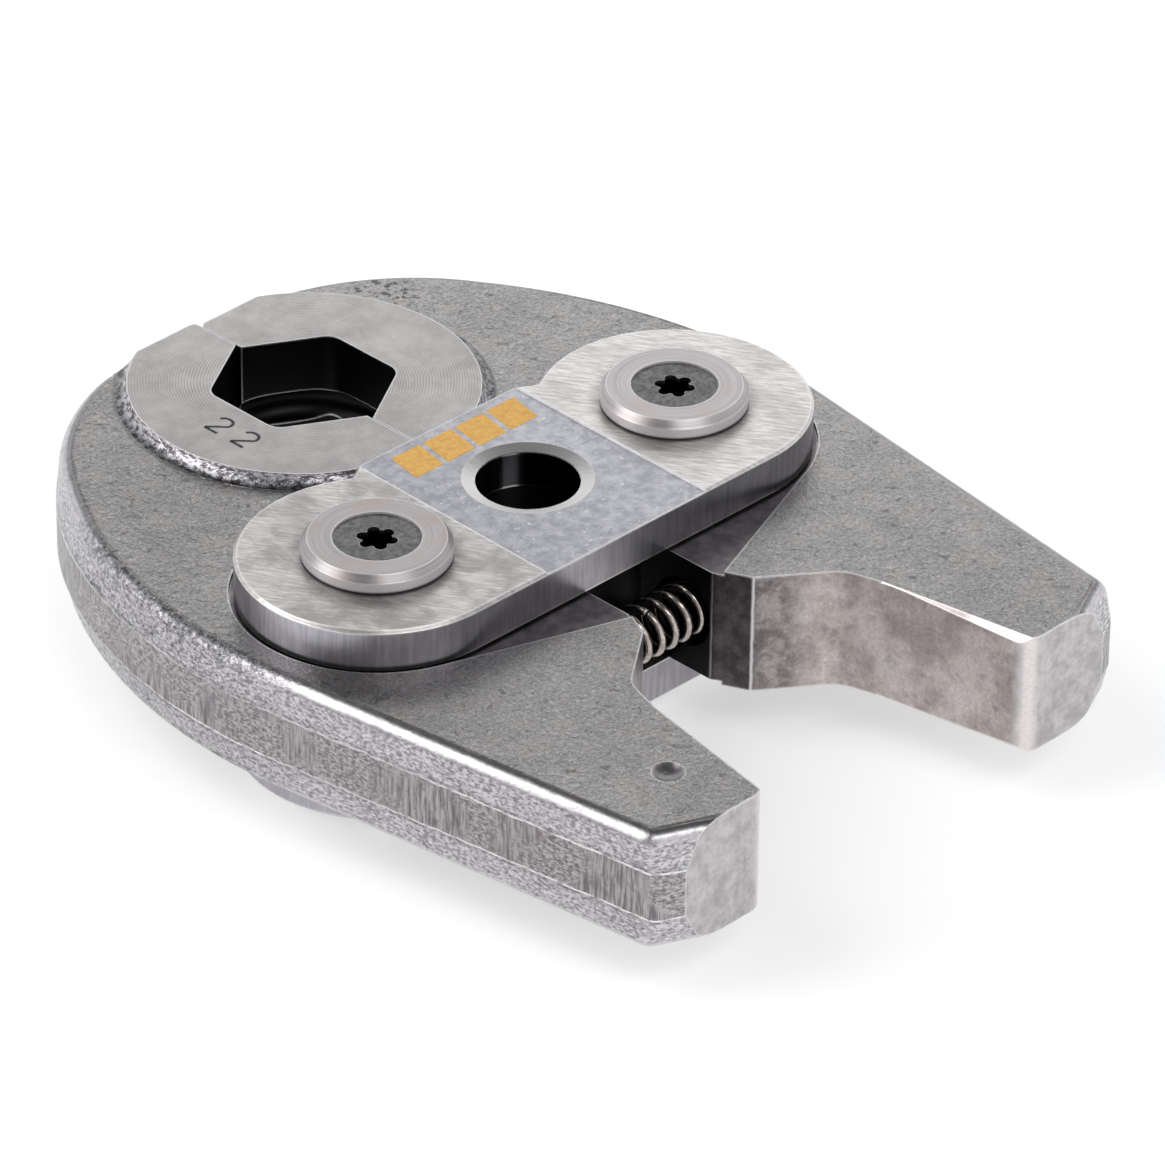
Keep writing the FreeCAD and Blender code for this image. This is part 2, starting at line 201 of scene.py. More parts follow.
# Colours as 0-255 screen values, dark and light where a pattern runs between two
COLORS = {
    "face": ((135, 133, 134), (168, 166, 165)),
    "face stain": (158, 150, 142),
    "face glint": (206, 204, 203),
    "flank": ((131, 128, 133), (205, 202, 205)),
    "flank polish and highlight": (200, 197, 200),
    "trim sheared": ((108, 105, 108), (170, 167, 169)),
    "trim rough": ((108, 105, 108), (182, 178, 180)),
    "trim rust": (120, 104, 98),
    "crease highlight": (232, 230, 231),
    "ring": ((166, 163, 162), (183, 180, 178)),
    "ring foot": ((104, 100, 106), (214, 211, 215)),
    "pocket": ((104, 100, 104), (134, 129, 131)),
    "track": ((166, 155, 153), (202, 193, 191)),
    "nose": ((112, 106, 107), (166, 160, 159)),
    "nose front": ((66, 62, 64), (98, 93, 94)),
    "nose face in shade": (30, 29, 30),
    "contour in shade": (34, 33, 35),
    "nose edge highlight": (206, 203, 204),
    "tail end": ((172, 169, 171), (198, 195, 196)),
    "tail corner highlight": (228, 221, 219),
    "mark": (140, 137, 139),
    "jaw edge wear and highlight": (240, 238, 238),
    "plate end": ((188, 185, 183), (228, 225, 222)),
    "plate stain": (146, 142, 142),
    "band": ((162, 163, 168), (194, 194, 200)),
    "band speck": (230, 229, 231),
    "bore rim": (206, 204, 203),
    "plate side": ((158, 156, 163), (178, 175, 181)),
    "bore": (66, 65, 69),
    "plate edge highlight": (246, 244, 242),
    "disc": ((164, 160, 162), (186, 182, 184)),
    "disc warm": (176, 165, 160),
    "disc rim": (214, 208, 210),
    "disc edge highlight": (240, 237, 236),
    "disc contact shadow": (44, 41, 42),
    "screw": ((92, 92, 93), (120, 120, 119)),
    "screw edge rub and highlight": (206, 202, 200),
    "socket": (26, 26, 27),
    "pin": ((150, 148, 150), (184, 181, 182)),
    "wire": ((168, 158, 152), (206, 197, 190)),
    "wire inside shade": (30, 28, 28),
    "print": ((224, 168, 84), (242, 188, 96)),
    "stamp": ((48, 46, 46), (78, 75, 74)),
}

# Ranges of a normal's parts, over which a surface starts to count as lying in a direction
FLAT = (0.97, 0.995)
DISC_FLAT = (0.9, 0.99)
UPRIGHT = (0.05, 0.2)
END_UPRIGHT = (0.02, 0.05)
OUTWARD = (0.12, 0.2)
FORWARD = (0.1, 0.2)
BACKWARD = (0.2, 0.3)
SQUARE_BACK = (0.985, 0.995)
INWARD = (0.0, 0.05)
CORNER_START = (0.05, 0.55)
CORNER_END = (0.72, 0.995)

# Unit of the steps by which a zone's border is placed or softened, in metres
HAIR = 0.0001

# Turning lines: how fast they follow each other along the radius, and how far lines stray
TURNING_LINES = 15500.0
LINE_WANDER = 0.0007
DISC_LINES = 5200.0
DISC_LINES_DRIFT = 40.0

# Bump depths in metres
JAW_RELIEF = 0.00008
PLATE_RELIEF = 0.00003
FINE_RELIEF = 0.00001
WIRE_RELIEF = 0.000006
FINE_STRENGTH = 0.8

# Edge highlight: reach of the bevel and how far the normal has to turn
BEVEL_SAMPLES = 3
JAW_EDGE = (0.0004, 0.006, 0.05)
PLATE_EDGE = (0.0005, 0.008, 0.07)
DISC_EDGE = (0.0003, 0.01, 0.12)
SCREW_EDGE = (0.0002, 0.01, 0.12)

# Studio: floor, world, and lamps that are aimed at the origin
FLOOR_HALF = 3
FLOOR_WHITE = 0.8
FLOOR_GLOW = 0.48
WORLD_COLOR = (0.98, 0.99, 1.0, 1)
ZENITH_START, ZENITH_END, ZENITH_LEVEL = 0.5, 0.74, 0.16
LEFT_START, LEFT_END, LEFT_LEVEL = -0.85, -0.1, 0.45
SOFTBOXES = (
    ("back_left", (-0.73, 0.50, 0.80), (0.7, 1.15), 6.6),
    ("back_right", (0.60, 0.56, 0.52), (0.6, 0.5), 0.5),
    ("front", (-0.18, -0.74, 0.92), (0.8, 0.35), 2.6),
)

# Camera at the photograph's angle
AZIMUTH = math.radians(-44.915)
ELEVATION = math.radians(32.986)
ROLL = math.radians(0.717)
DISTANCE = 1.0696
TARGET = Vector((-0.012849, -0.02332, PLATE_TOP))
SENSOR_WIDTH = 36.0
FOCAL_IN_PIXELS = 8283.1
PHOTO_WIDTH = 1165
CLIP_END = 20


def srgb(red, green, blue):
    """Linear colour from 0-255 screen values."""
    out = []
    for value in (red, green, blue):
        v = value / 255
        out.append(v / 12.92 if v <= 0.04045 else ((v + 0.055) / 1.055) ** 2.4)
    return (*out, 1.0)


class Tree:
    """Short calls for building a tree of shader nodes."""

    def __init__(self, node_tree):
        self.nodes = node_tree.nodes
        self.links = node_tree.links

    def put(self, socket, value):
        if isinstance(value, bpy.types.NodeSocket):
            self.links.new(value, socket)
        else:
            socket.default_value = value

    def math(self, operation, *values):
        node = self.nodes.new("ShaderNodeMath")
        node.operation = operation
        for i, value in enumerate(values):
            self.put(node.inputs[i], value)
        return node.outputs[0]

    def add(self, a, b):
        return self.math("ADD", a, b)

    def sub(self, a, b):
        return self.math("SUBTRACT", a, b)

    def mul(self, a, b):
        return self.math("MULTIPLY", a, b)

    def top(self, a, b):
        return self.math("MAXIMUM", a, b)

    def size(self, value):
        return self.math("ABSOLUTE", value)

    def all_of(self, *masks):
        """Product of masks."""
        out = masks[0]
        for mask in masks[1:]:
            out = self.mul(out, mask)
        return out

    def outside(self, mask):
        """1 where the mask is 0 and the other way round."""
        return self.sub(1.0, mask)

    def vector(self, operation, *values):
        node = self.nodes.new("ShaderNodeVectorMath")
        node.operation = operation
        for i, value in enumerate(values):
            self.put(node.inputs[i], value)
        single = operation in ("LENGTH", "DOT_PRODUCT", "DISTANCE")
        return node.outputs["Value" if single else "Vector"]

    def split(self, vector):
        node = self.nodes.new("ShaderNodeSeparateXYZ")
        self.put(node.inputs[0], vector)
        return node.outputs

    def join(self, x, y, z):
        node = self.nodes.new("ShaderNodeCombineXYZ")
        for i, value in enumerate((x, y, z)):
            self.put(node.inputs[i], value)
        return node.outputs[0]

    def distance(self, x, y):
        """Length of a vector in plan."""
        return self.vector("LENGTH", self.join(x, y, 0.0))

    def turned(self, vector, center, angle):
        """The vector turned about Z round a centre."""
        node = self.nodes.new("ShaderNodeVectorRotate")
        node.rotation_type = "Z_AXIS"
        self.put(node.inputs["Vector"], vector)
        node.inputs["Center"].default_value = center
        node.inputs["Angle"].default_value = angle
        return node.outputs[0]

    def band(self, value, low, high):
        """0 below low, 1 above high, smooth between."""
        node = self.nodes.new("ShaderNodeMapRange")
        node.interpolation_type = "SMOOTHSTEP"
        self.put(node.inputs["Value"], value)
        node.inputs["From Min"].default_value = low
        node.inputs["From Max"].default_value = high
        return node.outputs[0]

    def below(self, value, low, high):
        """1 below low, 0 above high, smooth between."""
        return self.outside(self.band(value, low, high))

    def blend(self, factor, a, b):
        """Number mix."""
        node = self.nodes.new("ShaderNodeMix")
        node.data_type = "FLOAT"
        self.put(node.inputs[0], factor)
        self.put(node.inputs[2], a)
        self.put(node.inputs[3], b)
        return node.outputs[0]


class Surface(Tree):
    """A material's nodes: patterns, colours, edges, relief and the shader."""

    def __init__(self, name):
        self.material = bpy.data.materials.new(name)
        self.material.use_nodes = True
        super().__init__(self.material.node_tree)
        self.nodes.clear()
        self.output = self.nodes.new("ShaderNodeOutputMaterial")
        coordinates = self.nodes.new("ShaderNodeTexCoord")
        self.place = coordinates.outputs["Object"]
        self.normal = coordinates.outputs["Normal"]

    def noise(self, vector, scale, detail, rough, distortion):
        node = self.nodes.new("ShaderNodeTexNoise")
        self.put(node.inputs["Vector"], vector)
        node.inputs["Scale"].default_value = scale
        node.inputs["Detail"].default_value = detail
        node.inputs["Roughness"].default_value = rough
        node.inputs["Distortion"].default_value = distortion
        return node.outputs["Fac"]

    def pattern(self, name):
        """Noise from the list of patterns."""
        return self.noise(self.place, *PATTERNS[name])

    def spots(self, name, low, high):
        """A pattern's spots: 0 below low, 1 above high."""
        return self.band(self.pattern(name), low, high)

    def streaks(self, name, place):
        """Noise with its own scale along each axis."""
        *scales, detail = STREAKS[name]
        stretched = self.vector("MULTIPLY", place, scales)
        return self.noise(stretched, 1.0, detail, STREAK_ROUGHNESS, 0.0)

    def mix(self, factor, a, b):
        """Colour mix."""
        node = self.nodes.new("ShaderNodeMix")
        node.data_type = "RGBA"
        self.put(node.inputs[0], factor)
        self.put(node.inputs[6], a)
        self.put(node.inputs[7], b)
        return node.outputs[2]

    def paint(self, mask, shade_under_crease, name):
        """The named colour over another where the mask is 1."""
        return self.mix(mask, shade_under_crease, srgb(*COLORS[name]))

    def two_tone(self, mask, name):
        """The named pair of colours, dark where the mask is 0."""
        dark, light = COLORS[name]
        return self.mix(mask, srgb(*dark), srgb(*light))

    def shade(self, color, value):
        """Colour times a grey value."""
        node = self.nodes.new("ShaderNodeMix")
        node.data_type = "RGBA"
        node.blend_type = "MULTIPLY"
        node.inputs[0].default_value = 1.0
        self.put(node.inputs[6], color)
        self.put(node.inputs[7], self.join(value, value, value))
        return node.outputs[2]

    def level(self, color, mask, at_zero, at_one):
        """Colour times a grey value that the mask runs between."""
        return self.shade(color, self.blend(mask, at_zero, at_one))

    def darken(self, color, mask, share):
        """Colour darker by a share where the mask is 1."""
        return self.shade(color, self.outside(self.mul(mask, share)))

    def edge(self, radius, low, high):
        """1 on an outer or inner edge, 0 on a flat."""
        bevel = self.nodes.new("ShaderNodeBevel")
        bevel.samples = BEVEL_SAMPLES
        bevel.inputs["Radius"].default_value = radius
        geometry = self.nodes.new("ShaderNodeNewGeometry")
        same = self.vector("DOT_PRODUCT", bevel.outputs[0], geometry.outputs["Normal"])
        return self.band(self.outside(same), low, high)

    def bump(self, height, distance, strength=FINE_STRENGTH):
        node = self.nodes.new("ShaderNodeBump")
        self.put(node.inputs["Height"], height)
        node.inputs["Distance"].default_value = distance
        node.inputs["Strength"].default_value = strength
        return node.outputs[0]

    def finish(self, color, roughness, bump, metallic=1.0):
        shader = self.nodes.new("ShaderNodeBsdfPrincipled")
        self.put(shader.inputs["Base Color"], color)
        self.put(shader.inputs["Roughness"], roughness)
        self.put(shader.inputs["Metallic"], metallic)
        self.links.new(bump, shader.inputs["Normal"])
        self.links.new(shader.outputs[0], self.output.inputs["Surface"])
        return self.material


def jaw_zones(t, side):
    """Coordinates, zones and shared patterns of one jaw, told apart by place and direction."""
    place = t.turned(t.place, (side * PIVOT_X, 0, 0), -REST_SWING)
    x, y, z = t.split(place)
    height = t.size(z)
    nx, ny, nz = t.split(t.turned(t.normal, (0, 0, 0), -REST_SWING))
    tilt = t.size(nz)
    inward = t.mul(nx, -side)
    backward = t.mul(ny, -1.0)
    from_ring = t.distance(x, t.sub(y, RING_Y))

    flat = t.band(tilt, *FLAT)
    steep = t.outside(flat)
    head_front = t.mul(t.band(ny, *FORWARD), t.band(y, *HEAD_FRONT_Y))
    outer = t.top(t.band(t.mul(nx, side), *OUTWARD), head_front)
    ring_top = t.mul(flat, t.band(height, RING_TOP - 2 * HAIR, RING_TOP - HAIR))
    pocket = t.mul(flat, t.below(height, WEB_TOP + HAIR, WEB_TOP + 3 * HAIR))
    above_face = t.band(height, LEVER_TOP + 0.3 * HAIR, LEVER_TOP + 1.2 * HAIR)
    near_rim = t.band(from_ring, RING_RADIUS - 4 * HAIR, RING_RADIUS - 2 * HAIR)
    ring_foot = t.all_of(steep, above_face, near_rim)
    back = t.mul(t.band(backward, *BACKWARD), t.below(y, *BACK_END_Y))
    tail_end = t.all_of(back, t.band(backward, *SQUARE_BACK), t.below(tilt, *END_UPRIGHT))
    rear_skin = t.all_of(back, t.below(inward, *INWARD), t.outside(tail_end))
    skin_side = t.top(outer, rear_skin)
    wall = t.all_of(steep, t.outside(skin_side), t.outside(ring_foot))
    tread = t.mul(skin_side, t.below(height, TREAD_HALF - HAIR, TREAD_HALF + HAIR))
    rounding = t.all_of(steep, skin_side, t.outside(tread))
    torn = t.mul(t.band(y, *TORN_START_Y), t.below(y, *TORN_END_Y))
    head = t.band(y, *HEAD_Y)
    lumps = t.blend(head, t.pattern("face specks"), t.pattern("face wrinkles"))
    return SimpleNamespace(
        side=side, place=place, x=x, y=y, z=z, height=height, tilt=tilt, inward=inward,
        from_ring=from_ring, ring_top=ring_top, pocket=pocket, ring_foot=ring_foot,
        rear_skin=rear_skin, skin_side=skin_side, wall=wall, tread=tread, rounding=rounding,
        torn=torn, head=head, lumps=lumps, grain=t.pattern("grain"),
        coarse=t.streaks("coarse", place), scabs=t.pattern("flank scabs"),
        trim_lines=t.streaks("trim lines", place), foot_grain=t.streaks("ring foot", place),
        brushed=t.streaks("wall brushing", place))


def face_color(t, zone):
    """Blasted faces of the forging: sand, pits, painted glints, stains, slow clouds, and painted
    light that changes along Y.
    """
    dapples = t.pattern("face dapples")
    # Painted light: the right jaw's face lighter and the left jaw's slightly darker towards the head
    painted_light = t.blend(t.band(zone.y, *FACE_LIGHT_FALL_Y), 1.0, 1.12 if zone.side > 0 else 0.97)
    color = t.two_tone(t.band(zone.grain, 0.3, 0.7), "face")
    color = t.paint(t.mul(t.band(dapples, 0.5, 0.68), 0.4), color, "face stain")
    clouds = t.blend(t.spots("face clouds", 0.35, 0.65), 0.92, 1.06)
    color = t.shade(color, t.mul(painted_light, clouds))
    color = t.level(color, t.band(dapples, 0.3, 0.6), 0.92, 1.03)
    color = t.level(color, t.spots("face sand", 0.34, 0.66), 0.86, 1.11)
    color = t.level(color, t.spots("face pits", 0.33, 0.40), 0.62, 1.0)
    color = t.level(color, t.band(zone.lumps, 0.56, 0.66), 1.0, 1.18)
    color = t.paint(t.mul(t.spots("face glints", 0.62, 0.70), 0.55), color, "face glint")
    if zone.side > 0:
        # The group of small hollows at the far head
        near = t.below(t.vector("DISTANCE", zone.place, HOLLOWS_PLACE), *HOLLOWS_REACH)
        hollows = t.mul(near, t.outside(t.spots("head hollows", 0.4, 0.46)))
        color = t.darken(color, hollows, 0.7)
    return color


def flank_color(t, zone):
    """Rounded sides of the forging: lighter at the top, partly polish and partly painted highlight,
    with a painted dark reflection line where the rounding meets the face; torn towards the head.
    """
    # Lighter, plainer colour on the upper rounding: partly polish, partly painted highlight
    polish_and_highlight = t.mul(t.band(zone.tilt, 0.25, 0.5), t.blend(zone.torn, 0.75, 0.0))
    color = t.two_tone(t.band(zone.coarse, 0.34, 0.64), "flank")
    color = t.paint(polish_and_highlight, color, "flank polish and highlight")
    color = t.level(color, t.band(t.streaks("flow", zone.place), 0.3, 0.6), 0.86, 1.04)
    # Painted dark reflection: a darker line where the rounding meets the face
    rim = t.mul(t.band(zone.tilt, 0.80, 0.90), t.below(zone.tilt, 0.985, 0.997))
    color = t.darken(color, rim, 0.45)
    dents = t.blend(zone.torn, 0.82, 0.5)
    color = t.level(color, t.band(zone.lumps, 0.34, 0.44), dents, 1.0)
    ragged = t.all_of(zone.torn, t.band(zone.tilt, 0.15, 0.4), t.below(zone.scabs, 0.40, 0.48))
    return t.darken(color, ragged, 0.42)


def trim_color(t, zone):
    """Band along the parting line, sheared in some places and rough in others."""
    sheared = t.two_tone(t.band(zone.trim_lines, 0.32, 0.66), "trim sheared")
    rough = t.two_tone(t.band(zone.coarse, 0.34, 0.66), "trim rough")
    color = t.mix(t.spots("trim patches", 0.40, 0.60), rough, sheared)
    return t.paint(t.mul(t.spots("trim rust", 0.60, 0.68), 0.5), color, "trim rust")


def add_creases(t, zone, color):
    """Painted highlight: a light broken line along each border of the trimmed band, with painted
    shade on its forged side.
    """
    wander = t.mul(t.sub(t.pattern("crease path"), 0.5), LINE_WANDER)
    offset = t.add(t.sub(zone.height, TREAD_HALF), wander)
    # Painted highlight line at each border of the band
    line = t.below(t.size(offset), 0.4 * HAIR, 2 * HAIR)
    line = t.all_of(line, zone.skin_side, t.spots("crease breaks", 0.3, 0.55))
    line = t.mul(line, t.blend(t.band(zone.y, *CREASE_FADE_Y), 1.0, 0.55))
    # Painted shade on the forged side of the band's border
    shade_under_crease = t.below(t.size(t.add(offset, -4 * HAIR)), HAIR, 4 * HAIR)
    color = t.darken(color, t.mul(shade_under_crease, zone.skin_side), 0.22)
    return t.paint(line, color, "crease highlight")


def ring_color(t, zone, turning):
    """Turned face of the pressing ring."""
    color = t.two_tone(t.spots("ring mottle", 0.3, 0.7), "ring")
    # Painted light: the ring lighter towards +X and towards +Y
    color = t.level(color, t.band(zone.x, *RING_LIGHT_FALL_X), 0.99, 1.09)
    color = t.level(color, t.band(zone.y, *RING_LIGHT_FALL_Y), 0.99, 1.06)
    groove = t.blend(t.spots("ring line depth", 0.35, 0.65), 0.89, 0.74)
    color = t.level(color, t.band(turning, -1.0, 0.6), groove, 1.03)
    scratches = t.streaks("ring scratches", t.turned(zone.place, (0, 0, 0), RING_SCRATCH_TURN))
    color = t.level(color, t.band(scratches, 0.25, 0.4), 0.9, 1.0)
    return t.level(color, t.spots("ring clouds", 0.35, 0.6), 0.92, 1.02)


def wall_color(t, zone):
    """Machined inner side: track, nose, the faces behind it and the contour painted near black as
    shade, painted highlight lines on the nose edges, and the sheared tail end with a painted
    highlight on its inner corner.
    """
    y = zone.y
    pits = t.pattern("wall pits")
    color = t.two_tone(t.spots("wall stains", 0.36, 0.66), "track")
    color = t.level(color, t.band(zone.brushed, 0.3, 0.7), 0.94, 1.03)
    color = t.level(color, t.band(pits, 0.32, 0.42), 0.8, 1.0)
    nose = t.two_tone(t.spots("nose wear", 0.35, 0.65), "nose")
    color = t.mix(t.band(y, *NOSE_Y), color, nose)
    front = t.two_tone(t.spots("nose shade", 0.3, 0.7), "nose front")
    color = t.mix(t.band(y, *NOSE_FRONT_Y), color, front)
    color = t.level(color, t.spots("wall sand", 0.34, 0.66), 0.88, 1.08)
    # Painted shade: the faces behind the nose and the contour's walls near black
    color = t.paint(t.band(y, *NOSE_FACE_Y), color, "nose face in shade")
    color = t.paint(t.band(y, *CONTOUR_Y), color, "contour in shade")
    chips = t.mul(t.sub(t.pattern("nose chips"), 0.5), 2 * HAIR)
    # Painted highlight: light lines along the nose tip edge and the end of the nose face, broken by
    # chips
    for edge_y, strength in ((NOSE_TIP_Y, 0.85), (NOSE_FACE_END_Y, 0.35)):
        from_edge = t.size(t.add(t.sub(y, edge_y), chips))
        line = t.below(from_edge, 0.6 * HAIR, 2.4 * HAIR)
        color = t.paint(t.mul(line, strength), color, "nose edge highlight")

    end = t.two_tone(t.spots("tail end", 0.36, 0.64), "tail end")
    end = t.level(end, t.band(zone.brushed, 0.3, 0.7), 0.95, 1.04)
    end = t.level(end, t.band(pits, 0.30, 0.40), 0.86, 1.0)
    end = t.level(end, t.band(zone.coarse, 0.36, 0.62), 0.95, 1.03)
    color = t.mix(t.below(y, *TAIL_END_Y), color, end)
    # Painted highlight: a light, grainy stripe on the rounding where the track turns into the tail
    # end
    turning_in = t.mul(t.band(zone.inward, *CORNER_START), t.below(zone.inward, *CORNER_END))
    highlight_breakup = t.blend(t.band(zone.coarse, 0.3, 0.6), 0.65, 0.95)
    corner_highlight = t.all_of(turning_in, t.below(y, *TAIL_CORNER_Y), highlight_breakup)
    return t.paint(corner_highlight, color, "tail corner highlight")


def jaw_relief(t, zone, turning, cut):
    """Height of the jaw's surface for the bump."""
    face = t.add(t.mul(zone.lumps, t.blend(zone.head, 1.0, 1.9)), t.mul(zone.grain, 0.4))
    flank = t.add(t.mul(zone.lumps, 1.2), t.mul(zone.grain, 0.6))
    flank = t.mul(flank, t.blend(zone.torn, 0.42, 1.6))
    flank = t.add(flank, t.mul(t.band(zone.scabs, 0.36, 0.56), t.mul(zone.torn, 2.4)))
    skin = t.blend(zone.rounding, face, flank)
    skin = t.blend(zone.ring_foot, skin, t.mul(zone.foot_grain, 2.2))
    skin = t.blend(zone.tread, skin, t.mul(t.add(zone.grain, zone.trim_lines), 0.4))
    machined = t.add(t.mul(turning, t.mul(zone.ring_top, 0.06)), t.mul(zone.brushed, 0.12))
    return t.blend(cut, skin, machined)


def jaw_material(name, side):
    """One jaw; side is -1 for the left and 1 for the right."""
    t = Surface(name)
    zone = jaw_zones(t, side)
    wobble = t.mul(t.pattern("ring wobble"), LINE_WANDER)
    turning = t.math("SINE", t.mul(t.add(zone.from_ring, wobble), TURNING_LINES))

    color = t.mix(zone.rounding, face_color(t, zone), flank_color(t, zone))
    color = t.mix(zone.tread, color, trim_color(t, zone))
    color = add_creases(t, zone, color)
    color = t.mix(zone.ring_top, color, ring_color(t, zone, turning))
    # Painted light: the rear skin of the tail a little lighter
    color = t.shade(color, t.add(1.0, t.mul(zone.rear_skin, 0.09)))
    foot = t.two_tone(t.band(zone.foot_grain, 0.38, 0.60), "ring foot")
    # Painted shade and light: the ring foot darker towards its base and lighter towards the ring
    rise = t.band(zone.height, LEVER_TOP + HAIR, RING_TOP - 3 * HAIR)
    color = t.mix(zone.ring_foot, color, t.level(foot, rise, 0.40, 1.15))
    pocket_floor = t.two_tone(t.spots("pocket floor", 0.3, 0.7), "pocket")
    color = t.mix(zone.pocket, color, pocket_floor)
    color = t.mix(zone.wall, color, wall_color(t, zone))
    if side < 0:
        from_mark = t.distance(t.sub(zone.x, MARK_PLACE[0]), t.sub(zone.y, MARK_PLACE[1]))
        inside = t.below(from_mark, MARK_RADIUS - 2 * HAIR, MARK_RADIUS + 2 * HAIR)
        color = t.paint(t.mul(inside, t.band(zone.z, *MARK_SIDE_Z)), color, "mark")

    # No light edges in the dark between the noses
    hidden = t.all_of(zone.wall, t.band(zone.y, *DARK_START_Y), t.below(zone.y, *CONTOUR_Y))
    edge = t.mul(t.edge(*JAW_EDGE), t.outside(hidden))
    # Light edge lines: partly worn bright steel, partly painted highlight
    color = t.paint(t.mul(edge, t.outside(t.mul(zone.rounding, 0.6))), color, "jaw edge wear and highlight")

    cut = t.top(t.top(zone.ring_top, zone.pocket), zone.wall)
    roughness = t.blend(cut, t.blend(zone.rounding, 0.36, 0.31), 0.38)
    roughness = t.blend(zone.ring_foot, roughness, 0.26)
    relief = jaw_relief(t, zone, turning, cut)
    return t.finish(color, roughness, t.bump(relief, JAW_RELIEF, 1.0))


def plate_material():
    """Ground ends, a blue-grey milled band across the middle and a bright rim round the bore."""
    t = Surface("plate_steel")
    x, y, z = t.split(t.place)
    tilt = t.size(t.split(t.normal)[2])
    away = t.size(x)
    radius = t.distance(x, y)
    flat = t.band(tilt, *FLAT)
    outer_face = t.band(t.size(z), *PLATE_OUTER_Z)
    band = t.all_of(flat, outer_face, t.below(away, BAND_HALF - HAIR, BAND_HALF + HAIR))
    rim_radius = BORE_RADIUS + RIM_WIDTH
    rim = t.mul(outer_face, t.below(radius, rim_radius - HAIR, rim_radius + HAIR))
    bore = t.mul(t.below(radius, BORE_RADIUS + HAIR, BORE_RADIUS + 2 * HAIR), t.outside(flat))
    from_pin = t.distance(t.sub(away, PIVOT_X), y)

    grinding = t.streaks("plate grinding", t.turned(t.place, (0, 0, 0), GRINDING_TURN))
    scratches = t.streaks("plate scratches", t.turned(t.place, (0, 0, 0), PLATE_SCRATCH_TURN))
    # Painted light: the plate ends lighter towards +X; towards -X they also carry more stains and
    # darker scratches
    clean_and_lit = t.band(x, *PLATE_CLEAN_AND_LIT_X)
    color = t.two_tone(t.band(grinding, 0.3, 0.7), "plate end")
    color = t.level(color, clean_and_lit, 0.86, 1.06)
    color = t.level(color, t.band(scratches, 0.28, 0.42), t.blend(clean_and_lit, 0.86, 0.93), 1.0)
    stains = t.outside(t.spots("plate stains", 0.36, 0.58))
    color = t.paint(t.mul(stains, t.blend(clean_and_lit, 0.7, 0.28)), color, "plate stain")
    # A darker ring round each disc: partly grime, partly painted shade beside the disc
    grime_and_shade = t.below(from_pin, DISC_RADIUS - 2 * HAIR, DISC_RADIUS + 22 * HAIR)
    color = t.darken(color, grime_and_shade, t.blend(t.pattern("plate grime and shade"), 0.25, 0.6))

    blue = t.two_tone(t.spots("band clouds", 0.3, 0.7), "band")
    # Painted light: the blue-grey band lighter towards +X
    blue = t.level(blue, t.band(x, *BAND_LIGHT_FALL_X), 0.93, 1.10)
    specks = t.mul(t.spots("band specks", 0.60, 0.70), t.spots("band speck groups", 0.40, 0.58))
    blue = t.paint(t.mul(specks, 0.7), blue, "band speck")
    color = t.mix(band, color, blue)
    color = t.paint(rim, color, "bore rim")

    lines = t.streaks("plate side lines", t.place)
    sides = t.two_tone(t.band(lines, 0.3, 0.7), "plate side")
    sides = t.level(sides, t.spots("plate side", 0.35, 0.65), 0.88, 1.05)
    upright = t.below(tilt, *UPRIGHT)
    color = t.mix(upright, color, sides)
    # The bore's wall painted dark as the shade inside the hole
    color = t.paint(bore, color, "bore")
    # Painted highlight along the plate's edges
    color = t.paint(t.edge(*PLATE_EDGE), color, "plate edge highlight")

    roughness = t.blend(upright, t.blend(band, 0.36, 0.42), 0.32)
    roughness = t.blend(bore, roughness, 0.2)
    relief = t.blend(band, t.add(grinding, t.mul(scratches, 0.5)), t.pattern("band grit"))
    relief = t.blend(upright, relief, t.mul(lines, 0.35))
    return t.finish(color, roughness, t.bump(relief, PLATE_RELIEF, 1.0))


def disc_material():
    """Turned steel with a painted highlight on its bevel and a painted shadow line where it sits on
    the plate.
    """
    t = Surface("disc_steel")
    x, y, z = t.split(t.place)
    tilt = t.size(t.split(t.normal)[2])
    from_axis = t.distance(t.sub(t.size(x), PIVOT_X), y)
    flat = t.band(tilt, *DISC_FLAT)
    upright = t.below(tilt, *UPRIGHT)
    circles = t.join(t.mul(from_axis, DISC_LINES), t.mul(y, DISC_LINES_DRIFT),
                     t.mul(x, DISC_LINES_DRIFT))
    rings = t.noise(circles, 1.0, 2.0, STREAK_ROUGHNESS, 0.0)
    color = t.two_tone(t.band(rings, 0.3, 0.7), "disc")
    color = t.paint(t.spots("disc warmth", 0.45, 0.75), color, "disc warm")
    # Painted light: the discs lighter towards +X
    color = t.level(color, t.band(x, *DISC_LIGHT_FALL_X), 0.92, 1.05)
    color = t.paint(upright, color, "disc rim")
    # Painted highlight on the disc's bevel
    color = t.paint(t.edge(*DISC_EDGE), color, "disc edge highlight")
    # Painted shadow: a dark line where the disc sits on the plate
    foot = t.below(t.size(z), PLATE_TOP + HAIR, PLATE_TOP + 5 * HAIR)
    color = t.paint(foot, color, "disc contact shadow")
    roughness = t.blend(flat, t.blend(upright, 0.36, 0.42), 0.34)
    metallic = t.blend(upright, 1.0, 0.45)
    return t.finish(color, roughness, t.bump(rings, FINE_RELIEF), metallic)


